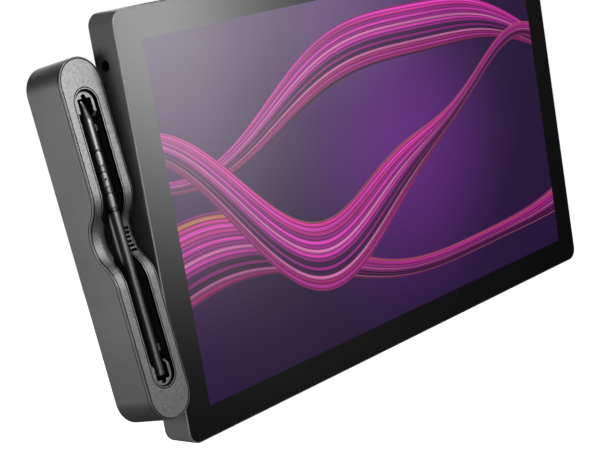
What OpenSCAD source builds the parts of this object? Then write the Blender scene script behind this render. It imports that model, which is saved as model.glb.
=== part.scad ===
// Drawing display with a cordless pen and a tilting pen tray.
// The screen faces -Y and the rear bolt pattern is centred on the origin.

/* [Display body] */
// Thickness from the front of the glass to the rear face
body_t = 22; // [21:0.5:28]
// Corner radius seen from the front
corner_r = 8; // [8:0.5:14]
// Thickness of the frame walls
frame_wall = 3; // [2.8:0.1:3.6]
// Width of the thin rim beside the glass
rim_w = 0.65; // [0.5:0.05:1.2]
// Bevel on the front edge of the rim
rim_bevel = 0.4; // [0.1:0.05:0.45]
// Radius of the rear edge
rear_round = 2.5; // [1:0.1:2.6]

/* [Screen] */
// Width of the lit picture
picture_w = 382; // [340:1:420]
// Height of the lit picture
picture_h = 215; // [190:1:240]
// Black border of the glass beside the picture
side_border = 19; // [17:0.5:24]
// Black border of the glass above and below the picture
top_border = 17.5; // [15.5:0.5:24]
// Thickness of the cover glass
glass_t = 1.5; // [1:0.1:2]
// Thickness of the picture panel
lcd_t = 2.5; // [2:0.1:3]
// Thickness of the backlight unit
light_t = 2.4; // [2:0.1:2.8]
// Thickness of the pen sensor board
sensor_t = 1; // [0.6:0.1:1.4]
// Thickness of the shield plate
shield_t = 0.6; // [0.4:0.1:0.8]

/* [Rear] */
// Spacing of the rear bolt pattern
bolt_pitch = 100; // [75:25:100]
// Bore radius of the rear threaded inserts
bolt_bore_r = 2.1; // [1.9:0.05:2.3]
// Thickness of the rear cover
cover_t = 2.5; // [2:0.1:3]
// Width of the port bay
bay_w = 116; // [100:1:130]
// Height of the port bay
bay_h = 36; // [30:1:40]
// Number of vent slots on each side of the middle
vent_count = 16; // [6:1:17]
// Depth of the finger grips
grip_depth = 3.5; // [2.5:0.1:4]
// Length of the finger grips
grip_l = 150; // [140:1:170]
// Width of the finger grips
grip_w = 26; // [22:1:27]
// Radius of the rubber feet
foot_r = 8; // [5:0.5:9]

/* [Keys] */
// Length of a key in the grips
key_l = 20; // [14:0.5:22]
// Width of a key in the grips
key_w = 9; // [7:0.5:10]
// Spacing of the keys
key_pitch = 28; // [26:0.5:32]
// How far a key goes in
key_travel = 0.8; // [0.4:0.1:0.9]

/* [Side holes] */
// Distance of the side holes behind the glass front
hole_depth = 12.5; // [12:0.1:13]
// Height of the accessory holes above the middle
hole_z = 96.5; // [80:0.5:105]
// Radius of the side holes where they open
hole_r = 3.5; // [3:0.1:3.6]
// Bore radius of the threaded inserts behind them
thread_r = 2.6; // [2.4:0.05:2.8]

/* [Tray] */
// How much longer the tray is than the pen slot
tray_spare = 35.2; // [33:0.2:48]
// Width of the tray
tray_w = 30; // [29.6:0.2:34]
// Depth of the tray
tray_d = 30; // [27:0.5:36]
// Space between the tray and the display
tray_gap = 1.25; // [1:0.05:2.5]
// Lean of the tray away from the screen plane
tray_tilt = 7.84; // [0:0.02:20]
// Wall thickness of the tray shell
tray_wall = 2.2; // [1.8:0.1:2.4]
// Edge of the shell left beside the front plate
tray_edge = 0.65; // [0.55:0.05:1]
// Thickness of the front plate
plate_t = 1.8; // [1.4:0.1:2.2]
// Width of the pen slot
slot_w = 18; // [17.6:0.1:18.4]
// How much longer the pen slot is than the pen
slot_spare = 14.2; // [13.6:0.2:17]
// Wall thickness of the black tub and of the trim on top of it
tub_wall = 0.8; // [0.6:0.05:0.9]
// Depth of the tub floor below the tray front
tub_depth = 13; // [12.6:0.1:14.5]
// Half length of the finger dip
dip_half = 27; // [22:0.5:29]
// Depth of the finger dip
dip_depth = 11; // [8:0.1:11.6]
// Middle of the finger dip along the tray
dip_mid = 1.7; // [0:0.1:3]
// How far the finger apron reaches into the slot
apron_reach = 4.1; // [3:0.1:4.3]
// Height of the pivot above the middle of the display
pivot_z = -37.5; // [-45:0.5:-36]
// Distance of the pivot behind the tray front
pivot_w = 14; // [12:0.2:16]
// Spacing of the spare nib slots
nib_pitch = 2.55; // [2.3:0.05:2.8]

/* [Pen] */
// Length of the pen
pen_l = 159; // [140:0.2:175]
// Diameter of the pen
pen_d = 8.2; // [7.8:0.1:8.8]
// Depth of the pen axis below the tray front
pen_w = 5; // [4.6:0.1:5.6]
// Roll of the pen, buttons turned toward the left
pen_roll = 20; // [0:1:30]
// Length of a pen button
button_l = 8.3; // [6.5:0.1:9]
// Width of a pen button
button_w = 3.8; // [3:0.1:4.2]

/* [Hidden] */
$fn = 64;
fit = 0.15;
run = 0.2;
join = 0.4;
glass_gap = 0.1;
body_w = picture_w + 2 * (side_border + rim_w + glass_gap);
body_h = picture_h + 2 * (top_border + rim_w + glass_gap);
lcd_margin = 8;
light_margin = 7.5;
sensor_margin = 7;
glass_back = -body_t + glass_t;
lcd_back = glass_back + lcd_t;
light_back = lcd_back + light_t;
sensor_back = light_back + sensor_t;
shield_back = sensor_back + shield_t;
glass_reach = 6.6;
flange_reach = 7.8;
ledge_t = 1.4;
seat_t = 1.6;
boss_r = 5.2;
boss_l = 5;
hole_y = -body_t + hole_depth;
mouth_t = 1.5;
insert_r = 4.2;
insert_gap = 0.05;
sensor_w = picture_w + 2 * sensor_margin;
sensor_h = picture_h + 2 * sensor_margin;
screw_in = 5.4;
screw_xs = [-130, -45, 45, 130];
screw_drop = 60;
screw_r = 0.8;
screw_l = 4;
screw_sink = 0.3;
screw_head_r = 1.65;
screw_head_t = 0.9;
screw_key_r = 0.7;
vesa_boss_r = 5.5;
vesa_insert_r = 3;
vesa_gap = 1;
vesa_end = shield_back + vesa_gap;
vesa_wall = 1.2;
vesa_pad = 7;
vesa_pad_w = bolt_pitch + 2 * vesa_pad;
vesa_pad_r = 8;
vesa_line = 0.8;
vesa_groove_w = vesa_pad_w - 2 * vesa_line;
vesa_line_t = 0.5;
pcb_t = 1.6;
pcb_stand = 3;
pcb_front = shield_back + pcb_stand;
pcb_back = pcb_front + pcb_t;
pcb_bite = 0.2;
bay_sink = 0.6;
bay_floor = pcb_back - bay_sink;
bay_wall = 1.5;
bay_r = 3;
bay_low = 17.75;
bay_top = -body_h / 2 + bay_low + bay_h;
bay_mid = bay_top - bay_h / 2;
board_w = 84;
board_h = 110;
board_z = bay_top + bay_wall + 2 * fit;
post_r = 3;
post_edge = 6;
post_x = board_w / 2 - post_edge;
post_low = 14.2;
post_high = 100.2;
chip_w = 28;
chip_t = 2;
chip_z = 62.2;
memory_w = 14;
memory_h = 10;
memory_t = 1.2;
memory_x = 27;
memory_z = 92.2;
video_x = -28;
video_w = 15;
video_t = 5.6;
video_l = 11;
video_wall = 0.6;
video_tongue_w = 11;
video_tongue_t = 1;
data_xs = [-6, 10];
data_w = 9.4;
data_t = 3.3;
data_l = 9;
data_wall = 0.4;
data_tongue_w = 6.6;
data_tongue_t = 0.7;
power_x = 28;
power_w = 9;
power_t = 6;
power_l = 11;
power_bore_r = 2.3;
power_pin_r = 0.7;
socket_floor = 2;
vent_drop = 35.75;
vent_z = body_h / 2 - vent_drop;
vent_l = 20;
vent_w = 2.4;
vent_pitch = 8;
sink_margin = 10;
sink_w = 2 * vent_count * vent_pitch + 2 * sink_margin;
sink_rise = 6;
sink_h = vent_l + 2 * sink_rise;
sink_t = 1.6;
fin_t = 1.2;
fin_inset = 2;
fin_gap = 1.5;
grip_edge = 22.75;
grip_x = body_w / 2 - grip_edge;
grip_wall = 1.5;
grip_in = -grip_depth - grip_wall;
key_proud = 1;
key_lip = 1.2;
key_flange_t = 1;
key_flange_y = grip_in - run - key_flange_t;
switch_top = key_flange_y - key_travel - fit;
switch_w = 5;
switch_t = 3.4;
key_pcb_back = switch_top - switch_t;
key_pcb_t = 1.2;
key_pcb_w = 12;
key_pcb_end = 8;
key_pcb_shift = 2;
key_post_r = 2;
foot_inset = 3;
foot_x = grip_x - foot_inset;
foot_drop = 21.75;
foot_z = body_h / 2 - foot_drop;
foot_t = 1.8;
foot_sink = 0.6;
foot_gap = 0.1;
button_edge = 60.75;
button_x = body_w / 2 - button_edge;
slider_edge = 36.75;
slider_x = body_w / 2 - slider_edge;
cap_l = 12;
cap_w = 4.5;
slider_l = 6;
slider_w = 3.4;
cap_lip = 1;
cap_proud = 0.5;
slider_lip_l = 13;
slider_lip_w = 6;
top_in = body_h / 2 - frame_wall;
cap_flange_t = 1;
cap_travel = 0.6;
cap_under = top_in - 2 * run - cap_flange_t;
slide_travel = 3;
switch_room = 5;
switch_pcb = top_in - switch_room;
switch_pcb_w = 9;
switch_pcb_end = 14;
switch_pcb_leg = 3;
slider_body_l = 10;
tray_x = -(body_w / 2 + tray_gap + tray_w / 2);
pivot_v = -37.5;
pivot_y = hole_y;
shoulder_r = 3.3;
washer_r = 7;
head_r = 5.5;
head_t = 2.2;
head_z = tray_gap + tray_wall + run;
head_key_r = 2;
head_key_t = 1.4;
slot_mid = 0.5;
slot_l = pen_l + slot_spare;
tray_l = slot_l + tray_spare;
seam = 0.45;
band_t = 1.55;
band_line_w = 0.45;
band_line_t = 0.3;
trim_gap = 0.35;
back_t = 2;
tub_w = slot_w - 2 * trim_gap;
tub_l = slot_l - 2 * trim_gap;
flange_w = 1.5;
flange_t = 1;
dip_r = (dip_half * dip_half + dip_depth * dip_depth) / (4 * dip_depth);
dip_lap = 0.02;
apron_half = 14.5;
apron_tip = 9.6;
apron_back = 11;
tub_in_w = tub_w - 2 * tub_wall;
tub_in_l = tub_l - 2 * tub_wall;
tub_floor_t = 1.2;
rest_top = 1.6;
rest_half = 6.7;
rest_slope = 2.5;
notch_half = 4.7;
notch_gap = 0.8;
notch_end = slot_mid + pen_l / 2 + notch_gap;
nib_notch_half = 1.6;
nib_notch_l = 2.4;
rest_end = tub_in_l / 2 - slot_mid - fit;
rest_leg_l = 10.3;
rest_leg = notch_end - rest_leg_l;
saddle_back = 6.5;
saddle_v = rest_leg - saddle_back;
saddle_t = 4;
seat_gap = 0.25;
nib_count = 6;
nib_r = 0.8;
nib_first = 5.2;
nib_u = 11.4;
nib_gap = 0.1;
nib_slot_w = 2 * (nib_r + nib_gap);
nib_wall = 0.7;
nib_slot_u = tray_w / 2 - tray_edge - seam - nib_wall - nib_slot_w / 2;
nib_sink = 2.2;
nib_open = 0.9;
nib_end = 6.5;
nib_floor = 1.5;
pen_tail = slot_mid - pen_l / 2;
pen_r = pen_d / 2;
rear_step = 0.15;
rear_r = pen_r - rear_step;
nose_step = 0.1;
nose_r = pen_r - nose_step;
pen_wall = 1.2;
bore_r = pen_r - pen_wall;
rear_from_tip = 98.3;
s_rear = pen_l - rear_from_tip;
ring_from_tip = 63.6;
s_ring = pen_l - ring_from_tip;
ring_l = 1.4;
ring_sink = 0.25;
s_front = s_ring + ring_l;
nose_l = 28;
s_nose = pen_l - nose_l;
cone_l = 11;
s_cone = pen_l - cone_l;
nib_show = 1.4;
s_mouth = pen_l - nib_show;
mouth_r = 1.4;
tail_t = 2;
tail_round = 1;
barrel_gap = 0.2;
nib_l = 20;
button_from_tip = 33;
button_pitch = 12.05;
button_gap = 0.35;
button_s = [for (i = [0 : 2]) pen_l - button_from_tip - i * button_pitch];
dot_r = 0.45;
coil_gap = 5;
core_y = -0.4;
core_reach = 3;
pen_pcb_w = 4;
pen_pcb_t = 0.8;
pen_pcb_lead = 0.7;
pen_pcb_start = s_rear - pen_pcb_lead;
pen_switch_w = 2.4;
pen_switch_l = 3;
pen_switch_gap = 0.35;
button_skin = 0.85;
button_in = pen_r - button_skin;
button_proud = 0.2;
button_out = pen_r + button_proud;
button_travel = 0.35;
pen_switch_y = -button_in + button_travel + pen_switch_gap;

// Outlines
module round_rect(w, h, r) {
    square([w - 2 * r, h], center = true);
    square([w, h - 2 * r], center = true);
    for (a = [-1, 1], b = [-1, 1])
        translate([a * (w / 2 - r), b * (h / 2 - r)])
            circle(r);
}

module stadium(l, w) {
    square([w, l - w], center = true);
    for (s = [-1, 1])
        translate([0, s * (l - w) / 2])
            circle(w / 2);
}

// A flat outline stood up in the X-Z plane between two depths
module slab(y0, y1) {
    translate([0, y1, 0])
        rotate([90, 0, 0])
            linear_extrude(y1 - y0)
                children();
}

// Section of the frame, seen along a side
module frame_section() {
    difference() {
        translate([-frame_wall, -body_t])
            square([frame_wall, body_t]);
        translate([-frame_wall - 1, -body_t - 1])
            square([frame_wall + 1 - rim_w, glass_t + 1]);
        translate([0, -body_t])
            rotate(45)
                square(rim_bevel * sqrt(2), center = true);
        difference() {
            translate([-rear_round, -rear_round])
                square(rear_round + 1);
            translate([-rear_round, -rear_round])
                circle(rear_round);
        }
    }
    translate([-glass_reach, glass_back])
        square([glass_reach - frame_wall + join, ledge_t]);
    translate([-flange_reach, -cover_t - seat_t])
        square([flange_reach - frame_wall + join, seat_t]);
}

// Places of the side holes: an accessory hole and a tray pivot on each side
module at_side_holes(side) {
    for (z = [hole_z, -side * pivot_z])
        translate([side * body_w / 2, hole_y, z])
            rotate([0, -side * 90, 0])
                children();
}

module at_screws() {
    for (s = [-1, 1], x = screw_xs)
        translate([x, 0, s * (body_h / 2 - screw_in)])
            rotate([90, 0, 0])
                children();
    for (s = [-1, 1], z = [-1, 1])
        translate([s * (body_w / 2 - screw_in), 0, z * (body_h / 2 - screw_drop)])
            rotate([90, 0, 0])
                children();
}

module screw_holes() {
    at_screws()
        translate([0, 0, cover_t - 1])
            cylinder(r = screw_r + fit / 3, h = screw_l + 2);
}

// Display, with its frame in four rails
module side_rail(side) {
    color([0.2, 0.2, 0.21])
        difference() {
            union() {
                mirror([(1 - side) / 2, 0, 0]) {
                    translate([body_w / 2, 0, -(body_h / 2 - corner_r)])
                        linear_extrude(body_h - 2 * corner_r)
                            frame_section();
                    for (n = [0, 1])
                        mirror([0, 0, n])
                            translate([body_w / 2 - corner_r, 0, -(body_h / 2 - corner_r)])
                                rotate([-90, 0, 0])
                                    rotate_extrude(angle = 90)
                                        translate([corner_r, 0])
                                            frame_section();
                }
                at_side_holes(side)
                    translate([0, 0, frame_wall - join])
                        cylinder(r = boss_r, h = boss_l + join);
            }
            at_side_holes(side)
                translate([0, 0, -1])
                    cylinder(r = hole_r, h = mouth_t + 2);
            at_side_holes(side)
                translate([0, 0, mouth_t])
                    cylinder(r = insert_r + insert_gap, h = frame_wall + boss_l);
            screw_holes();
        }
}

module level_rail() {
    translate([body_w / 2 - corner_r, 0, body_h / 2])
        rotate([0, -90, 0])
            linear_extrude(body_w - 2 * corner_r)
                frame_section();
}

module left_rail() {
    side_rail(-1);
}

module right_rail() {
    side_rail(1);
}

module top_rail() {
    color([0.2, 0.2, 0.21])
        difference() {
            level_rail();
            screw_holes();
            translate([button_x, hole_y, top_in - 1])
                linear_extrude(frame_wall + 2)
                    rotate(90)
                        stadium(cap_l + 2 * run, cap_w + 2 * run);
            translate([slider_x, hole_y, top_in - 1])
                linear_extrude(frame_wall + 2)
                    rotate(90)
                        stadium(slider_l + slide_travel + 2 * run, slider_w + 2 * run);
        }
}

module bottom_rail() {
    color([0.2, 0.2, 0.21])
        difference() {
            mirror([0, 0, 1])
                level_rail();
            screw_holes();
        }
}

module cover_glass() {
    color([0.02, 0.02, 0.03])
        slab(-body_t, glass_back)
            round_rect(
                body_w - 2 * (rim_w + glass_gap),
                body_h - 2 * (rim_w + glass_gap),
                corner_r - rim_w - glass_gap
            );
}

module lcd_panel() {
    color([0.25, 0.2, 0.5])
        slab(glass_back, lcd_back)
            square([picture_w + 2 * lcd_margin, picture_h + 2 * lcd_margin], center = true);
}

module backlight_unit() {
    color([0.85, 0.85, 0.82])
        slab(lcd_back, light_back)
            square([picture_w + 2 * light_margin, picture_h + 2 * light_margin], center = true);
}

module pen_sensor_board() {
    color([0.1, 0.3, 0.18])
        slab(light_back, sensor_back)
            square([sensor_w, sensor_h], center = true);
}

module shield_plate() {
    color([0.62, 0.63, 0.64]) {
        slab(sensor_back, shield_back)
            square([sensor_w, sensor_h], center = true);
        for (s = [-1, 1], z = [post_low, post_high])
            translate([s * post_x, shield_back - pcb_bite, board_z + z])
                rotate([-90, 0, 0])
                    cylinder(r = post_r, h = pcb_front - shield_back + pcb_bite);
    }
}

module main_board() {
    color([0.08, 0.28, 0.16]) {
        slab(pcb_front, pcb_back)
            translate([-board_w / 2, board_z])
                square([board_w, board_h]);
        slab(pcb_back - pcb_bite, pcb_back + chip_t)
            translate([-chip_w / 2, board_z + chip_z])
                square(chip_w);
        slab(pcb_back - pcb_bite, pcb_back + memory_t)
            for (s = [-1, 1])
                translate([s * memory_x - memory_w / 2, board_z + memory_z])
                    square([memory_w, memory_h]);
    }
}

module heat_sink() {
    color([0.7, 0.71, 0.72]) {
        slab(shield_back, shield_back + sink_t)
            translate([0, vent_z])
                square([sink_w, sink_h], center = true);
        for (s = [-1, 1], i = [0 : vent_count])
            slab(shield_back + sink_t - pcb_bite, -cover_t - fin_gap)
                translate([s * (i + 0.5) * vent_pitch, vent_z])
                    square([fin_t, sink_h - 2 * fin_inset], center = true);
    }
}

module socket_cuts(grow) {
    translate([video_x, video_t / 2])
        square([video_w + 2 * grow, video_t + 2 * grow], center = true);
    for (x = data_xs)
        translate([x, data_t / 2])
            square([data_w + 2 * grow, data_t + 2 * grow], center = true);
    translate([power_x, power_t / 2])
        square([power_w + 2 * grow, power_t + 2 * grow], center = true);
}

module rear_cover() {
    color([0.13, 0.13, 0.14])
        difference() {
            union() {
                slab(-cover_t, 0)
                    round_rect(
                        body_w - 2 * (frame_wall + fit),
                        body_h - 2 * (frame_wall + fit),
                        corner_r - frame_wall - fit
                    );
                for (x = [-1, 1], z = [-1, 1])
                    translate([x * bolt_pitch / 2, -cover_t + join, z * bolt_pitch / 2])
                        rotate([90, 0, 0])
                            cylinder(r = vesa_boss_r, h = -cover_t + join - vesa_end);
                for (s = [-1, 1])
                    slab(grip_in, -cover_t + join)
                        translate([s * grip_x, 0])
                            stadium(grip_l + 2 * grip_wall, grip_w + 2 * grip_wall);
            }
            for (x = [-1, 1], z = [-1, 1])
                translate([x * bolt_pitch / 2, 1, z * bolt_pitch / 2])
                    rotate([90, 0, 0])
                        cylinder(r = vesa_insert_r + fit / 3, h = -vesa_end);
            slab(-vesa_line_t, 1)
                difference() {
                    round_rect(vesa_pad_w, vesa_pad_w, vesa_pad_r);
                    round_rect(vesa_groove_w, vesa_groove_w, vesa_pad_r - vesa_line);
                }
            slab(-cover_t - 1, 1)
                translate([0, bay_mid])
                    round_rect(bay_w, bay_h, bay_r);
            for (s = [-1, 1]) {
                slab(-grip_depth, 1)
                    translate([s * grip_x, 0])
                        stadium(grip_l, grip_w);
                for (k = [-1.5 : 1 : 1.5])
                    slab(grip_in - 1, 1)
                        translate([s * grip_x, k * key_pitch])
                            stadium(key_l + 2 * run, key_w + 2 * run);
                for (i = [0 : vent_count - 1])
                    slab(-cover_t - 1, 1)
                        translate([s * (vent_pitch / 2 + i * vent_pitch), vent_z])
                            stadium(vent_l, vent_w);
                for (z = [-1, 1])
                    translate([s * foot_x, 1, z * foot_z])
                        rotate([90, 0, 0])
                            cylinder(r = foot_r + foot_gap, h = foot_sink + 1);
            }
            at_screws()
                translate([0, 0, -1])
                    cylinder(r = screw_head_r + fit, h = screw_sink + screw_head_t + 1);
            at_screws()
                translate([0, 0, -1])
                    cylinder(r = screw_r + run, h = cover_t + 2);
        }
}

module port_bay() {
    color([0.09, 0.09, 0.1])
        difference() {
            slab(bay_floor - bay_wall, -cover_t)
                translate([0, bay_mid])
                    round_rect(bay_w + 2 * bay_wall, bay_h + 2 * bay_wall, bay_r + bay_wall);
            slab(bay_floor, 1)
                translate([0, bay_mid])
                    round_rect(bay_w, bay_h, bay_r);
            translate([0, pcb_back, bay_top - 1])
                linear_extrude(bay_wall + 2)
                    socket_cuts(fit);
        }
}

module vesa_inserts() {
    color([0.72, 0.58, 0.3])
        for (x = [-1, 1], z = [-1, 1])
            translate([x * bolt_pitch / 2, 0, z * bolt_pitch / 2])
                rotate([90, 0, 0])
                    difference() {
                        cylinder(r = vesa_insert_r, h = -vesa_end - vesa_wall);
                        translate([0, 0, -1])
                            cylinder(r = bolt_bore_r, h = body_t);
                    }
}

module accessory_inserts() {
    color([0.72, 0.58, 0.3])
        for (side = [-1, 1])
            at_side_holes(side)
                translate([0, 0, mouth_t])
                    difference() {
                        cylinder(r = insert_r, h = frame_wall + boss_l - mouth_t);
                        translate([0, 0, -1])
                            cylinder(r = thread_r, h = frame_wall + boss_l);
                    }
}

// A socket stands on the board with its mouth at the top wall of the bay
module at_socket(x, t) {
    translate([x, pcb_back + t / 2, bay_top])
        children();
}

module video_socket() {
    inner = [video_w - 2 * video_wall, video_t - 2 * video_wall];
    color([0.66, 0.67, 0.68])
        at_socket(video_x, video_t)
            difference() {
                linear_extrude(video_l)
                    square([video_w, video_t], center = true);
                translate([0, 0, -1])
                    linear_extrude(video_l - socket_floor + 1)
                        difference() {
                            square(inner, center = true);
                            square([video_tongue_w, video_tongue_t], center = true);
                        }
            }
}

module data_sockets() {
    color([0.66, 0.67, 0.68])
        for (x = data_xs)
            at_socket(x, data_t)
                difference() {
                    linear_extrude(data_l)
                        rotate(90)
                            stadium(data_w, data_t);
                    translate([0, 0, -1])
                        linear_extrude(data_l - socket_floor + 1)
                            difference() {
                                rotate(90)
                                    stadium(data_w - 2 * data_wall, data_t - 2 * data_wall);
                                square([data_tongue_w, data_tongue_t], center = true);
                            }
                }
}

module power_socket() {
    color([0.05, 0.05, 0.05])
        at_socket(power_x, power_t)
            difference() {
                linear_extrude(power_l)
                    square([power_w, power_t], center = true);
                translate([0, 0, -1])
                    linear_extrude(power_l - socket_floor + 1)
                        difference() {
                            circle(power_bore_r);
                            circle(power_pin_r);
                        }
            }
}

module key_board(side) {
    color([0.08, 0.28, 0.16]) {
        slab(key_pcb_back - key_pcb_t, key_pcb_back)
            translate([side * (grip_x - key_pcb_shift), 0])
                square([key_pcb_w, 3 * key_pitch + 2 * key_pcb_end], center = true);
        for (k = [-1.5 : 1 : 1.5])
            slab(key_pcb_back - pcb_bite, switch_top)
                translate([side * (grip_x - key_pcb_shift), k * key_pitch])
                    square(switch_w, center = true);
        for (z = [-1, 1])
            slab(shield_back, key_pcb_back - key_pcb_t + pcb_bite)
                translate([side * (grip_x - 2 * key_pcb_shift), z * key_pitch])
                    circle(key_post_r);
    }
}

module left_key_board() {
    key_board(-1);
}

module right_key_board() {
    key_board(1);
}

module rubber_feet() {
    color([0.07, 0.07, 0.07])
        for (x = [-1, 1], z = [-1, 1])
            translate([x * foot_x, foot_t - foot_sink, z * foot_z])
                rotate([90, 0, 0])
                    cylinder(r = foot_r, h = foot_t);
}

module cover_screws() {
    color([0.3, 0.3, 0.31])
        at_screws() {
            difference() {
                translate([0, 0, screw_sink])
                    cylinder(r = screw_head_r, h = screw_head_t);
                translate([0, 0, -1])
                    cylinder(r = screw_key_r, h = screw_head_t + 1, $fn = 6);
            }
            translate([0, 0, screw_sink + screw_head_t - pcb_bite])
                cylinder(r = screw_r, h = screw_l);
        }
}

module switch_board() {
    color([0.08, 0.28, 0.16]) {
        translate([button_x - switch_pcb_end, hole_y - switch_pcb_w / 2, switch_pcb - key_pcb_t])
            cube([slider_x - button_x + 2 * switch_pcb_end, switch_pcb_w, key_pcb_t]);
        for (x = [button_x - switch_pcb_end, slider_x + switch_pcb_end - switch_pcb_leg])
            translate([x, hole_y - switch_pcb_w / 2, switch_pcb - pcb_bite])
                cube([switch_pcb_leg, switch_pcb_w, top_in - switch_pcb + pcb_bite]);
        translate([button_x - switch_w / 2, hole_y - switch_w / 2, switch_pcb - pcb_bite])
            cube([switch_w, switch_w, cap_under - cap_travel - switch_pcb + pcb_bite]);
        translate([slider_x - slider_body_l / 2, hole_y - switch_w / 2, switch_pcb - pcb_bite])
            cube([slider_body_l, switch_w, cap_under - switch_pcb + pcb_bite]);
    }
}

module power_button() {
    color([0.1, 0.1, 0.1])
        translate([button_x, hole_y, 0]) {
            translate([0, 0, top_in - run - cap_flange_t])
                linear_extrude(cap_flange_t)
                    rotate(90)
                        stadium(cap_l + 2 * cap_lip, cap_w + 2 * cap_lip);
            translate([0, 0, top_in - run - join])
                linear_extrude(frame_wall + run + join + cap_proud)
                    rotate(90)
                        stadium(cap_l, cap_w);
        }
}

module touch_switch() {
    color([0.1, 0.1, 0.1])
        translate([slider_x - slide_travel / 2, hole_y, 0]) {
            translate([0, 0, top_in - run - cap_flange_t])
                linear_extrude(cap_flange_t)
                    rotate(90)
                        stadium(slider_lip_l, slider_lip_w);
            translate([0, 0, top_in - run - join])
                linear_extrude(frame_wall + run + join + cap_proud)
                    rotate(90)
                        stadium(slider_l, slider_w);
        }
}

module express_key(side, k) {
    color([0.09, 0.09, 0.1])
        translate([side * grip_x, 0, (1.5 - k) * key_pitch]) {
            slab(key_flange_y, key_flange_y + key_flange_t)
                stadium(key_l + 2 * key_lip, key_w + 2 * key_lip);
            slab(key_flange_y + key_flange_t - join, -grip_depth + key_proud)
                stadium(key_l, key_w);
        }
}

module left_key_1() {
    express_key(-1, 0);
}

module left_key_2() {
    express_key(-1, 1);
}

module left_key_3() {
    express_key(-1, 2);
}

module left_key_4() {
    express_key(-1, 3);
}

module right_key_1() {
    express_key(1, 0);
}

module right_key_2() {
    express_key(1, 1);
}

module right_key_3() {
    express_key(1, 2);
}

module right_key_4() {
    express_key(1, 3);
}

// Tray pivot on the left side of the display
module at_pivot() {
    translate([-body_w / 2, pivot_y, pivot_z])
        rotate([0, -90, 0])
            children();
}

module pivot_washer() {
    color([0.08, 0.08, 0.08])
        at_pivot()
            difference() {
                cylinder(r = washer_r, h = tray_gap - run);
                translate([0, 0, -1])
                    cylinder(r = shoulder_r + fit, h = tray_gap + 2);
            }
}

module pivot_screw() {
    color([0.6, 0.6, 0.62])
        at_pivot() {
            translate([0, 0, -frame_wall - boss_l + join])
                cylinder(r = thread_r - fit, h = frame_wall + boss_l);
            cylinder(r = shoulder_r, h = head_z + join);
            difference() {
                translate([0, 0, head_z])
                    cylinder(r = head_r, h = head_t);
                translate([0, 0, head_z + head_t - head_key_t])
                    cylinder(r = head_key_r, h = head_t, $fn = 6);
            }
        }
}

// Tray, drawn upright in its own place and then leaned about the pivot
module in_tray() {
    translate([tray_x, pivot_y, pivot_z])
        rotate([-tray_tilt, 0, 0])
            translate([0, -pivot_w, -pivot_v])
                children();
}

module across(w) {
    rotate(180, [1, 0, 1])
        translate([0, 0, -w / 2])
            linear_extrude(w)
                children();
}

// Side view of the finger dip: one hollow arc that laps two rounded shoulders
module dip_cut() {
    translate([dip_mid, 0]) {
        intersection() {
            translate([0, dip_r - dip_depth])
                circle(dip_r + dip_lap, $fn = 128);
            translate([-dip_half, -2 * dip_depth])
                square([2 * dip_half, 2 * dip_depth + join]);
        }
        difference() {
            translate([-dip_half, -dip_depth / 2])
                square([2 * dip_half, dip_depth]);
            for (s = [-1, 1])
                translate([s * dip_half, -dip_r])
                    circle(dip_r, $fn = 128);
        }
    }
}

// Side view of everything below the tray front, lowered by a thickness
module under_front(drop) {
    difference() {
        translate([-tray_l, -2 * tray_d])
            square([2 * tray_l, 2 * tray_d - drop]);
        translate([0, -drop])
            dip_cut();
    }
}

module over_front(drop) {
    difference() {
        translate([-tray_l, -2 * tray_d])
            square([2 * tray_l, 2 * tray_d + 5]);
        under_front(drop);
    }
}

// Fine groove round the side of the shell that sets off a band along its front edge
module band_line() {
    intersection() {
        slab(-5, tray_d)
            difference() {
                stadium(tray_l + 1, tray_w + 1);
                stadium(tray_l - 2 * band_line_t, tray_w - 2 * band_line_t);
            }
        across(2 * tray_w)
            intersection() {
                under_front(band_t);
                over_front(band_t + band_line_w);
            }
    }
}

module tray_shell() {
    color([0.3, 0.3, 0.31])
        in_tray()
            difference() {
                intersection() {
                    slab(-1, tray_d)
                        stadium(tray_l, tray_w);
                    across(2 * tray_w)
                        under_front(0);
                }
                slab(-5, tray_d - back_t)
                    stadium(tray_l - 2 * tray_wall, tray_w - 2 * tray_wall);
                intersection() {
                    slab(-5, tray_d - back_t)
                        stadium(tray_l - 2 * tray_edge, tray_w - 2 * tray_edge);
                    across(2 * tray_w)
                        over_front(plate_t);
                }
                band_line();
                translate([0, pivot_w, pivot_v])
                    rotate([0, 90, 0])
                        cylinder(r = shoulder_r + run, h = tray_w);
            }
}

module nib_places(u) {
    for (i = [0 : nib_count - 1])
        translate([u, 0, nib_first - i * nib_pitch])
            rotate([-90, 0, 0])
                children();
}

// Slots over the spare nibs, open toward the pen
module nib_slots() {
    nib_places(nib_slot_u)
        linear_extrude(tray_d) {
            circle(nib_slot_w / 2);
            translate([-nib_slot_u, -nib_slot_w / 2])
                square([nib_slot_u, nib_slot_w]);
        }
}

// Outline of the finger apron, which widens from the left edge of the slot toward the pen
module apron_outline(grow) {
    edge = -slot_w / 2;
    tip = edge + apron_reach + grow;
    translate([0, dip_mid])
        polygon([
            [-apron_back - grow, -apron_half - grow],
            [edge, -apron_half - grow],
            [tip, -apron_tip],
            [tip, apron_tip],
            [edge, apron_half + grow],
            [-apron_back - grow, apron_half + grow]
        ]);
}

module tray_front_plate() {
    color([0.42, 0.42, 0.43])
        in_tray()
            difference() {
                intersection() {
                    union() {
                        difference() {
                            slab(-1, tray_d - back_t)
                                difference() {
                                    stadium(
                                        tray_l - 2 * (tray_edge + seam),
                                        tray_w - 2 * (tray_edge + seam)
                                    );
                                    translate([0, slot_mid])
                                        stadium(slot_l, slot_w);
                                }
                            across(2 * tray_w)
                                under_front(plate_t);
                        }
                        slab(-2, tub_depth)
                            apron_outline(0);
                    }
                    across(2 * tray_w)
                        under_front(0);
                }
                nib_slots();
            }
}

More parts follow.
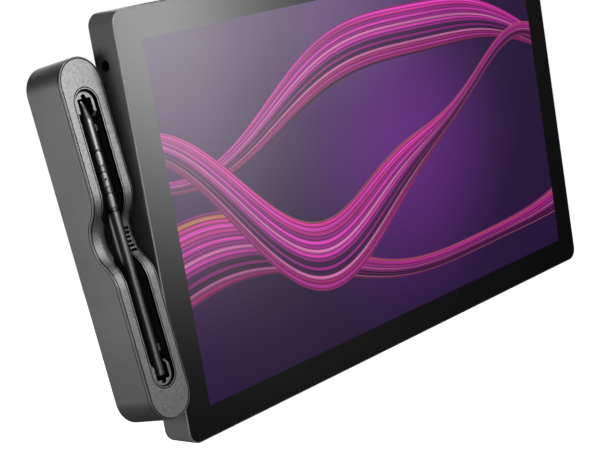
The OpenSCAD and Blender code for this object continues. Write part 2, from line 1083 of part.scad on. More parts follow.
// Outline of the tub wall, open where the apron comes through
module tub_ring() {
    difference() {
        translate([0, slot_mid])
            stadium(tub_l, tub_w);
        translate([0, slot_mid])
            stadium(tub_in_l, tub_in_w);
        apron_outline(trim_gap);
    }
}

module slot_trim() {
    color([0.4, 0.4, 0.41])
        in_tray()
            difference() {
                intersection() {
                    slab(-1, tray_d)
                        tub_ring();
                    across(2 * tray_w)
                        under_front(0);
                }
                across(2.2 * tray_w)
                    under_front(plate_t);
                intersection() {
                    nib_slots();
                    across(2 * tray_w)
                        over_front(nib_open);
                }
            }
}

module tray_tub() {
    color([0.02, 0.02, 0.02])
        in_tray()
            difference() {
                union() {
                    intersection() {
                        slab(-1, tub_depth + join)
                            tub_ring();
                        across(2 * tray_w)
                            under_front(plate_t);
                    }
                    slab(tub_depth, tub_depth + tub_floor_t)
                        translate([0, slot_mid])
                            stadium(tub_l, tub_w);
                    difference() {
                        slab(plate_t, plate_t + flange_t)
                            difference() {
                                translate([0, slot_mid])
                                    stadium(slot_l + 2 * flange_w, slot_w + 2 * flange_w);
                                translate([0, slot_mid])
                                    stadium(tub_l - join, tub_w - join);
                            }
                        translate([-tray_w, 0, dip_mid - dip_half - 1])
                            cube([2 * tray_w, tray_d, 2 * dip_half + 2]);
                    }
                    for (s = [-1, 1])
                        translate([-tub_in_w / 2 - join / 2, pen_w + 1, s * saddle_v - saddle_t / 2])
                            cube([tub_in_w + join, tub_depth - pen_w - 1 + join, saddle_t]);
                }
                for (p = [[1, nose_r], [-1, rear_r]])
                    translate([0, pen_w, p[0] * saddle_v - saddle_t])
                        cylinder(r = p[1] + seat_gap, h = 2 * saddle_t);
            }
}

// A U-shaped rest for one end of the pen, with sloped legs and a narrow notch for the nib
module pen_rest(end) {
    color([0.42, 0.42, 0.43])
        in_tray()
            mirror([0, 0, end])
                intersection() {
                    slab(0, tub_depth)
                        difference() {
                            union() {
                                translate([-rest_half, rest_leg])
                                    square([2 * rest_half, rest_end - rest_half - rest_leg]);
                                translate([0, rest_end - rest_half])
                                    circle(rest_half);
                            }
                            translate([-notch_half, rest_leg - 1])
                                square([2 * notch_half, notch_end - rest_leg + 1]);
                            translate([0, notch_end])
                                stadium(2 * nib_notch_l, 2 * nib_notch_half);
                        }
                    across(2 * tray_w)
                        polygon([
                            [rest_leg, -tub_depth],
                            [rest_leg, -rest_top - rest_slope],
                            [rest_leg + rest_slope, -rest_top],
                            [rest_end + 1, -rest_top],
                            [rest_end + 1, -tub_depth]
                        ]);
                }
}

module upper_pen_rest() {
    pen_rest(0);
}

module lower_pen_rest() {
    pen_rest(1);
}

module nib_holder() {
    holder_u = tub_w / 2 + 2 * fit;
    holder_w = tray_w / 2 - tray_wall - fit - holder_u;
    holder_l = (nib_count - 1) * nib_pitch + 2 * nib_slot_w;
    color([0.05, 0.05, 0.05])
        in_tray()
            difference() {
                intersection() {
                    translate([holder_u, 0, nib_first + nib_slot_w - holder_l])
                        cube([holder_w, tray_d - nib_end + nib_floor, holder_l]);
                    across(2 * tray_w)
                        under_front(plate_t);
                }
                nib_places(nib_u)
                    cylinder(r = nib_r + nib_gap, h = tray_d - nib_end);
            }
}

module spare_nibs() {
    color([0.12, 0.12, 0.12])
        in_tray()
            nib_places(nib_u)
                translate([0, 0, dip_depth + nib_sink])
                    cylinder(r = nib_r, h = tray_d - nib_end - dip_depth - nib_sink);
}

// Pen, drawn from its tail up
module in_pen() {
    in_tray()
        translate([0, pen_w, pen_tail])
            rotate([0, 0, -pen_roll])
                children();
}

module pen_rear_barrel() {
    color([0.05, 0.05, 0.05])
        in_pen()
            rotate_extrude()
                difference() {
                    square([rear_r, s_rear - barrel_gap / 2]);
                    translate([-1, tail_t])
                        square([bore_r + 1, s_rear]);
                    translate([rear_r - tail_round, -tail_round])
                        difference() {
                            square(2 * tail_round);
                            translate([0, 2 * tail_round])
                                circle(tail_round);
                        }
                }
}

module pen_middle_barrel() {
    color([0.06, 0.06, 0.06])
        in_pen()
            translate([0, 0, s_rear])
                difference() {
                    cylinder(r = pen_r, h = s_ring - s_rear);
                    translate([0, 0, -1])
                        cylinder(r = bore_r, h = s_ring - s_rear + 2);
                }
}

module pen_ring() {
    color([0.2, 0.2, 0.2])
        in_pen()
            translate([0, 0, s_ring])
                difference() {
                    cylinder(r = pen_r - ring_sink, h = ring_l);
                    translate([0, 0, -1])
                        cylinder(r = bore_r, h = ring_l + 2);
                }
}

module button_outline(grow) {
    rotate([90, 0, 0])
        linear_extrude(pen_d)
            stadium(button_l + 2 * grow, button_w + 2 * grow);
}

module pen_front_barrel() {
    color([0.06, 0.06, 0.06])
        in_pen()
            difference() {
                translate([0, 0, s_front])
                    cylinder(r = pen_r, h = s_nose - s_front - barrel_gap);
                translate([0, 0, s_front - 1])
                    cylinder(r = bore_r, h = s_nose - s_front + 2);
                for (s = button_s)
                    translate([0, 0, s])
                        button_outline(button_gap);
            }
}

module pen_nose() {
    color([0.05, 0.05, 0.05])
        in_pen()
            difference() {
                union() {
                    translate([0, 0, s_nose - barrel_gap])
                        cylinder(r = pen_r - ring_sink, h = barrel_gap + join);
                    translate([0, 0, s_nose])
                        cylinder(r = nose_r, h = s_cone - s_nose);
                    translate([0, 0, s_cone])
                        cylinder(r1 = nose_r, r2 = mouth_r, h = s_mouth - s_cone);
                }
                translate([0, 0, s_nose - 1])
                    cylinder(r = bore_r, h = s_cone - s_nose + 1);
                translate([0, 0, s_cone - 1])
                    cylinder(r = nib_r + run, h = pen_l - s_cone);
            }
}

module pen_nib() {
    color([0.55, 0.55, 0.55])
        in_pen() {
            translate([0, 0, pen_l - nib_l])
                cylinder(r = nib_r, h = nib_l - nib_r);
            translate([0, 0, pen_l - nib_r])
                sphere(nib_r);
        }
}

module pen_coil() {
    color([0.6, 0.35, 0.2])
        in_pen()
            translate([0, 0, s_nose + coil_gap])
                difference() {
                    cylinder(r = bore_r - fit, h = s_cone - s_nose - coil_gap);
                    translate([0, 0, -1])
                        cylinder(r = nib_r + run, h = s_cone - s_nose);
                }
}

module pen_core() {
    color([0.1, 0.1, 0.1])
        in_pen()
            intersection() {
                translate([0, 0, tail_t])
                    cylinder(r = bore_r - fit, h = s_nose + core_reach - tail_t);
                translate([-pen_d, core_y, 0])
                    cube([2 * pen_d, 2 * pen_d, pen_l]);
            }
}

module pen_circuit_board() {
    color([0.08, 0.28, 0.16])
        in_pen() {
            translate([-pen_pcb_w / 2, core_y - pen_pcb_t, pen_pcb_start])
                cube([pen_pcb_w, pen_pcb_t, s_nose + core_reach - pen_pcb_start]);
            for (s = button_s)
                translate([-pen_switch_w / 2, pen_switch_y, s - pen_switch_l / 2])
                    cube([pen_switch_w, core_y - pen_pcb_t / 2 - pen_switch_y, pen_switch_l]);
        }
}

module pen_button(i) {
    color([0.09, 0.09, 0.09])
        in_pen()
            difference() {
                intersection() {
                    translate([0, 0, button_s[i] - button_l])
                        cylinder(r = button_out, h = 2 * button_l);
                    translate([0, 0, button_s[i]])
                        button_outline(0);
                }
                translate([0, 0, button_s[i] - 2 * button_l])
                    cylinder(r = button_in, h = 4 * button_l);
            }
}

module pen_upper_button() {
    pen_button(0);
}

module pen_middle_button() {
    pen_button(1);
    color([0.09, 0.09, 0.09])
        in_pen()
            translate([0, -button_out + dot_r / 2, button_s[1]])
                sphere(dot_r);
}

module pen_lower_button() {
    pen_button(2);
}

left_rail();
right_rail();
top_rail();
bottom_rail();
cover_glass();
lcd_panel();
backlight_unit();
pen_sensor_board();
shield_plate();
main_board();
heat_sink();
rear_cover();
port_bay();
vesa_inserts();
accessory_inserts();
video_socket();
data_sockets();
power_socket();
left_key_board();
right_key_board();
rubber_feet();
cover_screws();
switch_board();
power_button();
touch_switch();
left_key_1();
left_key_2();
left_key_3();
left_key_4();
right_key_1();
right_key_2();
right_key_3();
right_key_4();
pivot_washer();
pivot_screw();
tray_shell();
tray_front_plate();
slot_trim();
tray_tub();
upper_pen_rest();
lower_pen_rest();
nib_holder();
spare_nibs();
pen_rear_barrel();
pen_middle_barrel();
pen_ring();
pen_front_barrel();
pen_nose();
pen_nib();
pen_coil();
pen_core();
pen_circuit_board();
pen_upper_button();
pen_middle_button();
pen_lower_button();
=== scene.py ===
"""Looks of a drawing display with a tilting pen tray and a cordless pen."""
import math

import bpy
from mathutils import Matrix, Vector

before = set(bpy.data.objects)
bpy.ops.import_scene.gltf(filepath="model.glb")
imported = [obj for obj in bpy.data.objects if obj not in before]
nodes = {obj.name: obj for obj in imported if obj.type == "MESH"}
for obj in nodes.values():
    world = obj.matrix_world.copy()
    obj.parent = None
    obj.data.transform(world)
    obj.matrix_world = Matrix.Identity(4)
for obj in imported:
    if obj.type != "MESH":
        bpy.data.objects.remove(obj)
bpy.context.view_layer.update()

# Lengths are in metres, as in the frame
MM = 0.001

# Camera fitted to the photograph, which is 600 by 450 pixels
IMAGE_W = 600
FOCAL_PX = 1572.5
SENSOR_W = 36.0
CAMERA_AT = Vector((-0.7892, -0.6715, 0.1512))
CAMERA_RIGHT = Vector((0.64855, -0.74316, -0.16458))
CAMERA_UP = Vector((0.24491, -0.00099, 0.96955))
CAMERA_BACK = Vector((-0.72069, -0.66911, 0.18136))
CLIP_NEAR = 0.01
CLIP_FAR = 200.0

# Screen
PICTURE_W = 382 * MM
PICTURE_H = 215 * MM
# Places on the picture run from -1 to 1, across it and up it.
# Ground at the upper left and at the lower right, lean of the line where they meet, and its spread
GROUND_UPPER_LEFT = (0.032, 0.001, 0.062, 1.0)
GROUND_LOWER_RIGHT = (0.015, 0.003, 0.036, 1.0)
GROUND_LEAN = 0.7
GROUND_MEET = (-0.9, -0.2)
# Violet glow: middle, how much its heights count, reach and colour
GLOW_AT = (0.12, 0.05)
GLOW_FLAT = 0.6
GLOW_REACH = 0.75
GLOW_COLOUR = (0.100, 0.010, 0.180, 1.0)
# Pale light from the top edge: middle, reach and the colour that it adds
PALE_AT = (-0.1, 1.0)
PALE_REACH = 0.75
PALE_COLOUR = (0.080, 0.052, 0.095, 1.0)
# Each band: height, swing, pace and start of its wave, half width, pace of its twist, and a seed.
# Heights and widths are in half heights of the picture.
BANDS = (
    (0.50, 0.26, 2.6, 0.9, 0.16, 2.2, 1.3),
    (-0.54, 0.28, 2.2, 3.6, 0.25, 1.7, 4.1),
    (0.02, 0.44, 3.0, 5.4, 0.21, 2.9, 2.6),
)
# Second, faster wave of a band: its pace and swing as shares of the first wave's
RIPPLE_PACE = 2.1
RIPPLE_SWING = 0.22
# Width where a band is twisted most, as a share of its full width, and where its edge begins to fade
TWIST_WIDTH = 0.22
BAND_EDGE = 0.97
# Stripes in half the width of a band, their drift along it, and a start that keeps their count positive
STRIPES = 8.0
STRIPE_DRIFT = 0.5
STRIPE_START = 40.0
# Dark line between stripes: where it ends, counted from a stripe's middle, and its brightness
GROOVE_END = 0.2
GROOVE_DARK = 0.25
# Sheen along the stripes: stretch and scale of its noise, and its darkest and brightest
SHEEN_STRETCH = 0.6
SHEEN_SCALE = 2.0
SHEEN_RANGE = (0.55, 1.2)
# Light across a band: share of the twist in it, where it begins and ends, and its darkest and brightest
LIGHT_TWIST = 0.5
LIGHT_SPAN = (-1.5, 1.2)
LIGHT_RANGE = (0.3, 1.1)
# Colours of the stripes, each with the draw from 0 to 1 at which it begins
STRIPE_COLOURS = (
    (0.00, (0.060, 0.006, 0.085)),
    (0.16, (0.300, 0.012, 0.230)),
    (0.34, (0.560, 0.020, 0.270)),
    (0.52, (0.640, 0.035, 0.420)),
    (0.66, (0.160, 0.014, 0.190)),
    (0.76, (0.420, 0.130, 0.090)),
    (0.84, (0.700, 0.160, 0.460)),
    (0.94, (0.780, 0.340, 0.520)),
)
# Etched glass: roughness of the border, scale of its wipe marks, and how much rougher the picture is
GLASS_ROUGH = (0.24, 0.25)
WIPE_SCALE = 14.0
PICTURE_ROUGHER = 0.018

# Way the tray front looks
TRAY_LEAN = math.radians(7.84)
TRAY_FRONT = (0.0, -math.cos(TRAY_LEAN), math.sin(TRAY_LEAN))
# Way up the tray, and its middle from side to side
TRAY_UP = (0.0, math.sin(TRAY_LEAN), math.cos(TRAY_LEAN))
TRAY_X = -227.0 * MM
# Middle and half length of the row of spare nib slots along the tray
NIBS_MIDDLE = -2.1 * MM
NIBS_HALF = 7.9 * MM
# Where the face's turn at the finger dip ends and where it is full, along the tray and out from its middle
DIP_HALF = (26.0 * MM, 20.0 * MM)
DIP_EDGE = (9.5 * MM, 5.5 * MM)
# Dark dot on the pen's middle button, painted shade for a small moulded mark: radius outside and inside
# its soft edge
DOT_RADIUS = (0.8 * MM, 0.6 * MM)

# Finishes
# Range of a noise that is spread over the whole range of a finish
NOISE_SPREAD = (0.3, 0.7)
# Clouds in a paint: scale, and how much they change its shade
CLOUD_SCALE = 18.0
CLOUD_SHADE = 0.06
# Depth of fine relief, and rounding of edges
RELIEF = 0.01 * MM
EDGE_ROUND = 0.3 * MM
# Rubbed edges: width, colour, how far the face has turned where the rub begins and where it is full,
# scale of its patches, and the part of their noise that shows
RUB_WIDTH = 0.5 * MM
RUB_COLOUR = 0.5
RUB_TURN = (0.98, 0.80)
RUB_SCALE = 220.0
RUB_PATCH = (0.35, 0.7)
# Dust: colour, how far a face looks up, and the scales of its specks and films with the parts that show
DUST_COLOUR = (0.55, 0.54, 0.52, 1.0)
DUST_UP = (0.2, 1.0)
SPECK_SCALE = 1400.0
SPECK_PART = (0.52, 0.72)
FILM_SCALE = 35.0
FILM_PART = (0.3, 0.8)
# Openness where the painted shade of a hollow begins and where it is dark
HOLLOW_SHADE_OPEN = (0.92, 0.72)
# How far the face has turned where the painted shade along an edge begins and where it is dark
EDGE_SHADE_TURN = (0.985, 0.93)
# How straight a face looks to the tray front, where the shell's finish changes, and where the plate's
# paint gives way to painted black shade on its walls
SHELL_FRONT = (0.5, 0.9)
PLATE_FRONT = (0.35, 0.65)
# Grain of the tray's metal, and the colour of its shell's front edge
TRAY_GRAIN = 1.1 * MM
SHELL_EDGE = (0.06, 0.06, 0.061, 1.0)
# Colour of the painted shade on dark lines, hollows and walls, and how much rougher they are
SHADE_DARK = 0.001
LINE_ROUGHER = 0.4
# How much the grain of the tray's plate changes its roughness
PLATE_ROUGH_GRAIN = 0.16

# Studio
FLOOR_Z = -0.45
FLOOR_SIZE = 60.0
# Light that reaches the part from all round, for dull and for shiny faces
ROOM_DULL = 0.03
ROOM_SHINY = 0.01
# How much of the floor shows in shiny faces
FLOOR_SHINY = 0.02
# How much light the floor throws back, and how bright it looks to the camera by itself
FLOOR_DULL = 0.8
FLOOR_SEEN = 0.985
# Key light: degrees right of straight in front and up, distance, width, fade of its brightness
# up and down, half height counted in fades, and brightness
KEY_TURN = 37.1
KEY_RISE = 3.2
KEY_AWAY = 1.5
KEY_W = 0.15
KEY_FADE = 0.202
KEY_FADES = 2.5
KEY_BRIGHT = 10.7
# Lamps: place, the point that each looks at, width and height, and power
LEFT_FILL = ((-1.38, 0.36, 0.08), (-0.24, 0.0, 0.02), (0.4, 0.5), 9.2)
NEAR_FRONT = ((-0.136, -0.379, 0.187), (-0.227, 0.0, 0.17), (0.15, 0.15), 5.0)
PEN_STRIP = ((-0.175, -0.6, -0.065), (-0.227, 0.0, -0.07), (0.09, 0.2), 1.0)
REAR = ((0.6, 1.7, 0.25), (0.0, 0.0, 0.0), (1.2, 1.2), 10.0)


def make_camera():
    """The camera at the photograph's place and angle."""
    data = bpy.data.cameras.new("photo_camera")
    data.sensor_width = SENSOR_W
    data.lens = FOCAL_PX * SENSOR_W / IMAGE_W
    data.clip_start = CLIP_NEAR
    data.clip_end = CLIP_FAR
    camera = bpy.data.objects.new("photo_camera", data)
    axes = Matrix((CAMERA_RIGHT, CAMERA_UP, CAMERA_BACK)).transposed()
    camera.matrix_world = Matrix.Translation(CAMERA_AT) @ axes.to_4x4()
    bpy.context.scene.collection.objects.link(camera)
    bpy.context.scene.camera = camera


class Graph:
    """A node tree with short calls for adding and joining nodes."""

    def __init__(self, tree):
        self.tree = tree

    def add(self, kind, **settings):
        node = self.tree.nodes.new(kind)
        for name, value in settings.items():
            setattr(node, name, value)
        return node

    def feed(self, socket, value):
        """Links a socket to a socket, or sets it to a plain value."""
        if isinstance(value, bpy.types.NodeSocket):
            self.tree.links.new(value, socket)
        elif value is not None:
            socket.default_value = value

    def math(self, operation, a, b=None, clamp=False):
        node = self.add("ShaderNodeMath", operation=operation, use_clamp=clamp)
        self.feed(node.inputs[0], a)
        self.feed(node.inputs[1], b)
        return node.outputs[0]

    def span(self, value, low, high, to_low=0.0, to_high=1.0):
        """Maps a value from one range to another, eased and held at the ends."""
        node = self.add("ShaderNodeMapRange", interpolation_type="SMOOTHSTEP", clamp=True)
        for socket, number in zip(node.inputs, (value, low, high, to_low, to_high)):
            self.feed(socket, number)
        return node.outputs[0]

    def mix(self, share, a, b, blend="MIX"):
        node = self.add("ShaderNodeMix", data_type="RGBA", blend_type=blend)
        self.feed(node.inputs[0], share)
        self.feed(node.inputs[6], a)
        self.feed(node.inputs[7], b)
        return node.outputs[2]

    def noise(self, scale, detail=2.0, roughness=0.5, vector=None):
        node = self.add("ShaderNodeTexNoise")
        self.feed(node.inputs["Vector"], vector or self.place())
        self.feed(node.inputs["Scale"], scale)
        self.feed(node.inputs["Detail"], detail)
        self.feed(node.inputs["Roughness"], roughness)
        return node.outputs["Fac"]

    def place(self):
        """Where a point lies on its piece, in metres."""
        return self.add("ShaderNodeTexCoord").outputs["Object"]

    def group(self, made, **values):
        node = self.add("ShaderNodeGroup", node_tree=made)
        for name, value in values.items():
            self.feed(node.inputs[name.replace("_", " ")], value)
        return node.outputs


def grey(level):
    """A plain grey as a colour socket takes it."""
    return (level, level, level, 1.0)


def new_group(name, inputs, outputs):
    """An empty shader group with named sockets; an input that starts as a tuple is a colour."""
    tree = bpy.data.node_groups.new(name, "ShaderNodeTree")
    for title, start in inputs:
        kind = "NodeSocketColor" if isinstance(start, tuple) else "NodeSocketFloat"
        socket = tree.interface.new_socket(name=title, in_out="INPUT", socket_type=kind)
        socket.default_value = start
    for title, kind in outputs:
        tree.interface.new_socket(name=title, in_out="OUTPUT", socket_type=kind)
    graph = Graph(tree)
    entry = graph.add("NodeGroupInput").outputs
    exit_ = graph.add("NodeGroupOutput").inputs
    return tree, graph, entry, exit_


def make_grain_group():
    """Fine moulded or sprayed grain: a shade that varies by grain and cloud, and a height."""
    tree, g, entry, exit_ = new_group(
        "satin_grain",
        [("Colour", grey(0.2)), ("Grain Size", 0.4 * MM), ("Contrast", 0.2), ("Cloud", 0.05)],
        [("Colour", "NodeSocketColor"), ("Height", "NodeSocketFloat"), ("Cloud", "NodeSocketFloat")],
    )
    scale = g.math("DIVIDE", 1.0, entry["Grain Size"])
    grain = g.noise(scale, detail=3.0, roughness=0.6)
    cloud = g.noise(CLOUD_SCALE, detail=3.0, roughness=0.55)
    speck = g.math("MULTIPLY", g.math("SUBTRACT", grain, 0.5), entry["Contrast"])
    drift = g.math("MULTIPLY", g.math("SUBTRACT", cloud, 0.5), entry["Cloud"])
    shade = g.math("ADD", g.math("ADD", speck, drift), 1.0)
    bright = g.add("ShaderNodeVectorMath", operation="SCALE")
    g.feed(bright.inputs[0], entry["Colour"])
    g.feed(bright.inputs["Scale"], shade)
    g.feed(exit_["Colour"], bright.outputs[0])
    g.feed(exit_["Height"], grain)
    g.feed(exit_["Cloud"], cloud)
    return tree


def make_edge_group():
    """A mask along sharp edges, broken up by noise."""
    tree, g, entry, exit_ = new_group(
        "edge_rub",
        [("Width", 0.4 * MM), ("Amount", 0.5)],
        [("Mask", "NodeSocketFloat")],
    )
    soft = g.add("ShaderNodeBevel", samples=4)
    g.feed(soft.inputs["Radius"], entry["Width"])
    normal = g.add("ShaderNodeNewGeometry").outputs["Normal"]
    dot = g.add("ShaderNodeVectorMath", operation="DOT_PRODUCT")
    g.feed(dot.inputs[0], soft.outputs[0])
    g.feed(dot.inputs[1], normal)
    bent = g.span(dot.outputs["Value"], *RUB_TURN)
    patch = g.span(g.noise(RUB_SCALE, detail=4.0), *RUB_PATCH)
    mask = g.math("MULTIPLY", g.math("MULTIPLY", bent, patch), entry["Amount"], clamp=True)
    g.feed(exit_["Mask"], mask)
    return tree


def make_dust_group():
    """Thin dust that settles on faces that look up."""
    tree, g, entry, exit_ = new_group(
        "settled_dust",
        [("Amount", 0.2)],
        [("Mask", "NodeSocketFloat")],
    )
    normal = g.add("ShaderNodeNewGeometry").outputs["Normal"]
    apart = g.add("ShaderNodeSeparateXYZ")
    g.feed(apart.inputs[0], normal)
    up = g.span(apart.outputs["Z"], *DUST_UP)
    specks = g.span(g.noise(SPECK_SCALE, detail=4.0, roughness=0.7), *SPECK_PART)
    film = g.span(g.noise(FILM_SCALE, detail=3.0), *FILM_PART)
    mask = g.math("MULTIPLY", g.math("ADD", specks, film), up)
    g.feed(exit_["Mask"], g.math("MULTIPLY", mask, entry["Amount"], clamp=True))
    return tree


def make_hollow_group():
    """A mask for painted shade that is 1 in narrow grooves and slots, where little light gets in."""
    tree, g, entry, exit_ = new_group(
        "painted_hollow_shade",
        [("Reach", 1.2 * MM)],
        [("Mask", "NodeSocketFloat")],
    )
    shade = g.add("ShaderNodeAmbientOcclusion", samples=8)
    g.feed(shade.inputs["Distance"], entry["Reach"])
    g.feed(exit_["Mask"], g.span(shade.outputs["AO"], *HOLLOW_SHADE_OPEN))
    return tree


def make_rim_group():
    """A mask for painted shade that is 1 close to the edge of a piece."""
    tree, g, entry, exit_ = new_group(
        "edge_shadow",
        [("Width", 0.4 * MM)],
        [("Mask", "NodeSocketFloat")],
    )
    soft = g.add("ShaderNodeBevel", samples=8)
    g.feed(soft.inputs["Radius"], entry["Width"])
    dot = g.add("ShaderNodeVectorMath", operation="DOT_PRODUCT")
    g.feed(dot.inputs[0], soft.outputs[0])
    g.feed(dot.inputs[1], g.add("ShaderNodeNewGeometry").outputs["Normal"])
    g.feed(exit_["Mask"], g.span(dot.outputs["Value"], *EDGE_SHADE_TURN))
    return tree


GRAIN = make_grain_group()
EDGE = make_edge_group()
DUST = make_dust_group()
HOLLOW_SHADE = make_hollow_group()
EDGE_SHADE = make_rim_group()


def new_material(name, **sockets):
    """A material with a Principled shader whose constant sockets are set directly."""
    material = bpy.data.materials.new(name)
    material.use_nodes = True
    graph = Graph(material.node_tree)
    shader = material.node_tree.nodes["Principled BSDF"]
    for title, value in sockets.items():
        shader.inputs[title.replace("_", " ")].default_value = value
    return material, graph, shader


def bump(graph, shader, height, distance, edge_round, bend=None):
    """Fine relief on top of softly rounded edges, bent further by a vector if one is given."""
    rounded = graph.add("ShaderNodeBevel", samples=6)
    rounded.inputs["Radius"].default_value = edge_round
    node = graph.add("ShaderNodeBump")
    node.inputs["Distance"].default_value = distance
    graph.feed(node.inputs["Height"], height)
    graph.feed(node.inputs["Normal"], rounded.outputs[0])
    normal = node.outputs[0]
    if bend is not None:
        added = graph.add("ShaderNodeVectorMath", operation="ADD")
        graph.feed(added.inputs[0], normal)
        graph.feed(added.inputs[1], bend)
        unit = graph.add("ShaderNodeVectorMath", operation="NORMALIZE")
        graph.feed(unit.inputs[0], added.outputs[0])
        normal = unit.outputs[0]
    graph.feed(shader.inputs["Normal"], normal)


def uneven(g, grain, rough):
    """Roughness that drifts between two values with the clouds of a paint."""
    return g.span(grain["Cloud"], *NOISE_SPREAD, *rough)


def satin(name, colour, rough, grain_size=0.4 * MM, contrast=0.2, relief=RELIEF, edge=0.3, dust=0.1,
          **sockets):
    """Painted, moulded, plated or rubber surface with grain, rubbed edges and a little dust."""
    material, g, shader = new_material(name, **sockets)
    shade = (*colour, 1.0)
    grain = g.group(GRAIN, Colour=shade, Grain_Size=grain_size, Contrast=contrast, Cloud=CLOUD_SHADE)
    rub = g.group(EDGE, Width=RUB_WIDTH, Amount=edge)["Mask"]
    dusty = g.group(DUST, Amount=dust)["Mask"]
    worn = g.mix(rub, grain["Colour"], grey(RUB_COLOUR))
    g.feed(shader.inputs["Base Color"], g.mix(dusty, worn, DUST_COLOUR))
    g.feed(shader.inputs["Roughness"], uneven(g, grain, rough))
    bump(g, shader, grain["Height"], relief, EDGE_ROUND)
    return material


def facing_front(g):
    """1 on faces that look straight to the tray front, falling to 0 on its sides."""
    facing = g.add("ShaderNodeVectorMath", operation="DOT_PRODUCT")
    g.feed(facing.inputs[0], g.add("ShaderNodeTexCoord").outputs["Normal"])
    facing.inputs[1].default_value = TRAY_FRONT
    return facing.outputs["Value"]


def tray_paint(name, colour, rough, metal):
    """Dark satin metal of the tray's sides, with a darker front edge and painted shade that blackens its
    groove.
    """
    material, g, shader = new_material(name, Metallic=metal)
    shade = (*colour, 1.0)
    grain = g.group(GRAIN, Colour=shade, Grain_Size=TRAY_GRAIN, Contrast=0.5, Cloud=CLOUD_SHADE)
    # Painted shade: the groove and other narrow hollows are painted nearly black.
    hollow = g.group(HOLLOW_SHADE, Reach=1.2 * MM)["Mask"]
    front = g.span(facing_front(g), *SHELL_FRONT)
    paint = g.mix(front, grain["Colour"], SHELL_EDGE)
    g.feed(shader.inputs["Base Color"], g.mix(hollow, paint, grey(SHADE_DARK)))
    g.feed(shader.inputs["Roughness"], uneven(g, grain, rough))
    bump(g, shader, grain["Height"], RELIEF, 0.4 * MM)
    return material


def pen_paint(name, colour, rough, dot_at=None):
    """Satin black of the pen with painted shade: a dark line along each edge, and a dark dot for a small
    moulded mark if it has a place.
    """
    material, g, shader = new_material(name, Metallic=1.0)
    grain = g.group(GRAIN, Colour=(*colour, 1.0), Grain_Size=0.3 * MM, Contrast=0.2, Cloud=0.05)
    # Painted shade: a dark line along each edge, where the gaps between parts are.
    dark = g.group(EDGE_SHADE, Width=0.3 * MM)["Mask"]
    # Painted shade: a dark dot stands for a small moulded mark on the button.
    if dot_at is not None:
        away = g.add("ShaderNodeVectorMath", operation="DISTANCE")
        g.feed(away.inputs[0], g.place())
        away.inputs[1].default_value = dot_at
        dark = g.math("MAXIMUM", dark, g.span(away.outputs["Value"], *DOT_RADIUS))
    g.feed(shader.inputs["Base Color"], g.mix(dark, grain["Colour"], grey(SHADE_DARK)))
    dull = g.math("MULTIPLY", dark, LINE_ROUGHER)
    g.feed(shader.inputs["Roughness"], g.math("ADD", uneven(g, grain, rough), dull))
    bump(g, shader, grain["Height"], RELIEF / 2, EDGE_ROUND)
    return material


def tray_place(g):
    """How far a point lies from the middle of the tray, across it and along it."""
    apart = g.add("ShaderNodeSeparateXYZ")
    g.feed(apart.inputs[0], g.place())
    along = g.add("ShaderNodeVectorMath", operation="DOT_PRODUCT")
    g.feed(along.inputs[0], g.place())
    along.inputs[1].default_value = TRAY_UP
    return g.math("SUBTRACT", apart.outputs["X"], TRAY_X), along.outputs["Value"]


def nib_ribs(g):
    """1 on the ribs between the spare nib slots."""
    across, along = tray_place(g)
    off_middle = g.math("ABSOLUTE", g.math("SUBTRACT", along, NIBS_MIDDLE))
    in_row = g.math("LESS_THAN", off_middle, NIBS_HALF)
    on_right = g.math("GREATER_THAN", across, 0.0)
    return g.math("MULTIPLY", in_row, on_right)


def dip_bend(g, amount):
    """Turns the plate's face toward the pen at the inner edges of the finger dip."""
    across, along = tray_place(g)
    inside = g.span(g.math("ABSOLUTE", along), *DIP_HALF)
    close = g.span(g.math("ABSOLUTE", across), *DIP_EDGE)
    share = g.math("MULTIPLY", g.math("MULTIPLY", inside, close), amount)
    turn = g.math("MULTIPLY", g.math("SIGN", across), g.math("MULTIPLY", share, -1.0))
    bend = g.add("ShaderNodeCombineXYZ")
    g.feed(bend.inputs["X"], turn)
    return bend.outputs[0]


def capped(name, colour, rough, bend=0.0, edge_round=EDGE_ROUND):
    """Satin metal paint on the faces that look to the tray front, with painted shade: dark edges, dark
    hollows and black walls.

    With a bend, the face turns at the finger dip and the ribs between the nib slots stay free of the
    painted edge shade.
    """
    material, g, shader = new_material(name, Metallic=1.0)
    shade = (*colour, 1.0)
    grain = g.group(GRAIN, Colour=shade, Grain_Size=TRAY_GRAIN, Contrast=1.8, Cloud=CLOUD_SHADE)
    # Painted shade: faces turned from the tray front, narrow hollows and edges are painted nearly black.
    front = g.span(facing_front(g), *PLATE_FRONT)
    edge_shade_mask = g.group(EDGE_SHADE, Width=0.4 * MM)["Mask"]
    if bend:
        edge_shade_mask = g.math("MULTIPLY", edge_shade_mask, g.math("SUBTRACT", 1.0, nib_ribs(g)))
    dark = g.math("MAXIMUM", g.group(HOLLOW_SHADE, Reach=1.5 * MM)["Mask"], edge_shade_mask)
    front = g.math("MULTIPLY", front, g.math("SUBTRACT", 1.0, dark))
    g.feed(shader.inputs["Base Color"], g.mix(front, grey(SHADE_DARK), grain["Colour"]))
    fine = g.math("MULTIPLY", g.math("SUBTRACT", grain["Height"], 0.5), PLATE_ROUGH_GRAIN)
    dull = g.math("ADD", fine, g.span(front, 0.0, 1.0, LINE_ROUGHER, 0.0))
    g.feed(shader.inputs["Roughness"], g.math("ADD", uneven(g, grain, rough), dull))
    bump(g, shader, grain["Height"], 2 * RELIEF, edge_round, dip_bend(g, bend) if bend else None)
    return material


def front_of(name):
    """Middle of the side of a CAD node that looks to the tray front, on the node itself."""
    mesh = nodes[name].data
    points = [vertex.co for vertex in mesh.vertices]
    middle = sum(points, Vector()) / len(points)
    look = Vector(TRAY_FRONT)
    return middle + look * max((point - middle).dot(look) for point in points)


def dress(material, *names):
    """Gives CAD nodes a material."""
    for name in names:
        mesh = nodes[name].data
        mesh.materials.clear()
        mesh.materials.append(material)


